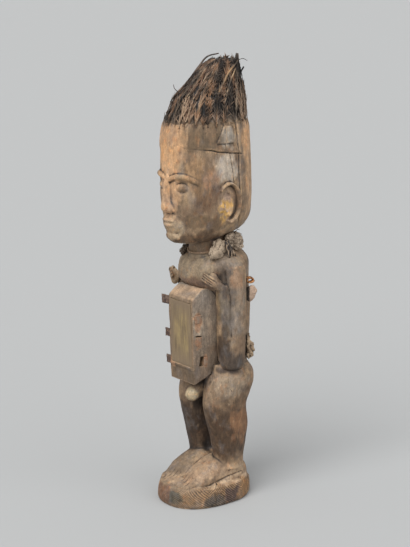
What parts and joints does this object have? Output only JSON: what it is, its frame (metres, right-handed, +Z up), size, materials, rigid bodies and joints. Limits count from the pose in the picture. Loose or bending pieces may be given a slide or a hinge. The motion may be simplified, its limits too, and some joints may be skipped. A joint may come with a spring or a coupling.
{
  "type": "power figure",
  "caption": "Standing carved wood power figure with a sealed belly box, crusted neck packets and a feather crest, on its own oval plinth.",
  "frame": {"origin": "centre of the plinth's flat underside", "axes": "+Z up, from the plinth to the feather crest; the figure faces -Y and its left side is +X"},
  "size_m": [0.1708, 0.2021, 0.8988],
  "materials": {
    "carved_wood": "aged, worn and crusted hardwood",
    "box_wood": "dusty crusted wood",
    "dulled_glass": "glass dulled by yellowed grime",
    "rusted_iron": "rusted hammered strip",
    "cord_fibre": "twisted plant fibre",
    "crusted_cloth": "folded cloth crusted with earth",
    "quill": "dark horny quill",
    "copper_wire": "rubbed copper wire",
    "feather": "old dark brown feathers"
  },
  "bodies": {
    "root": {"carved_figure": "carved_wood", "belly_box": "box_wood", "box_pane": "dulled_glass", "iron_tab_out_upper": "rusted_iron", "iron_tab_out_middle": "rusted_iron", "iron_tab_out_lower": "rusted_iron", "iron_tab_flat_upper": "rusted_iron", "iron_tab_flat_middle": "rusted_iron", "iron_tab_flat_lower": "rusted_iron", "neck_cord": "cord_fibre", "neck_packet_left": "crusted_cloth", "neck_packet_back_left": "crusted_cloth", "neck_packet_right": "crusted_cloth", "neck_quills": "quill", "back_ring": "copper_wire", "back_packet_upper": "crusted_cloth", "back_packet_lower": "crusted_cloth", "feather_crest": "feather"}
  },
  "joints": []
}
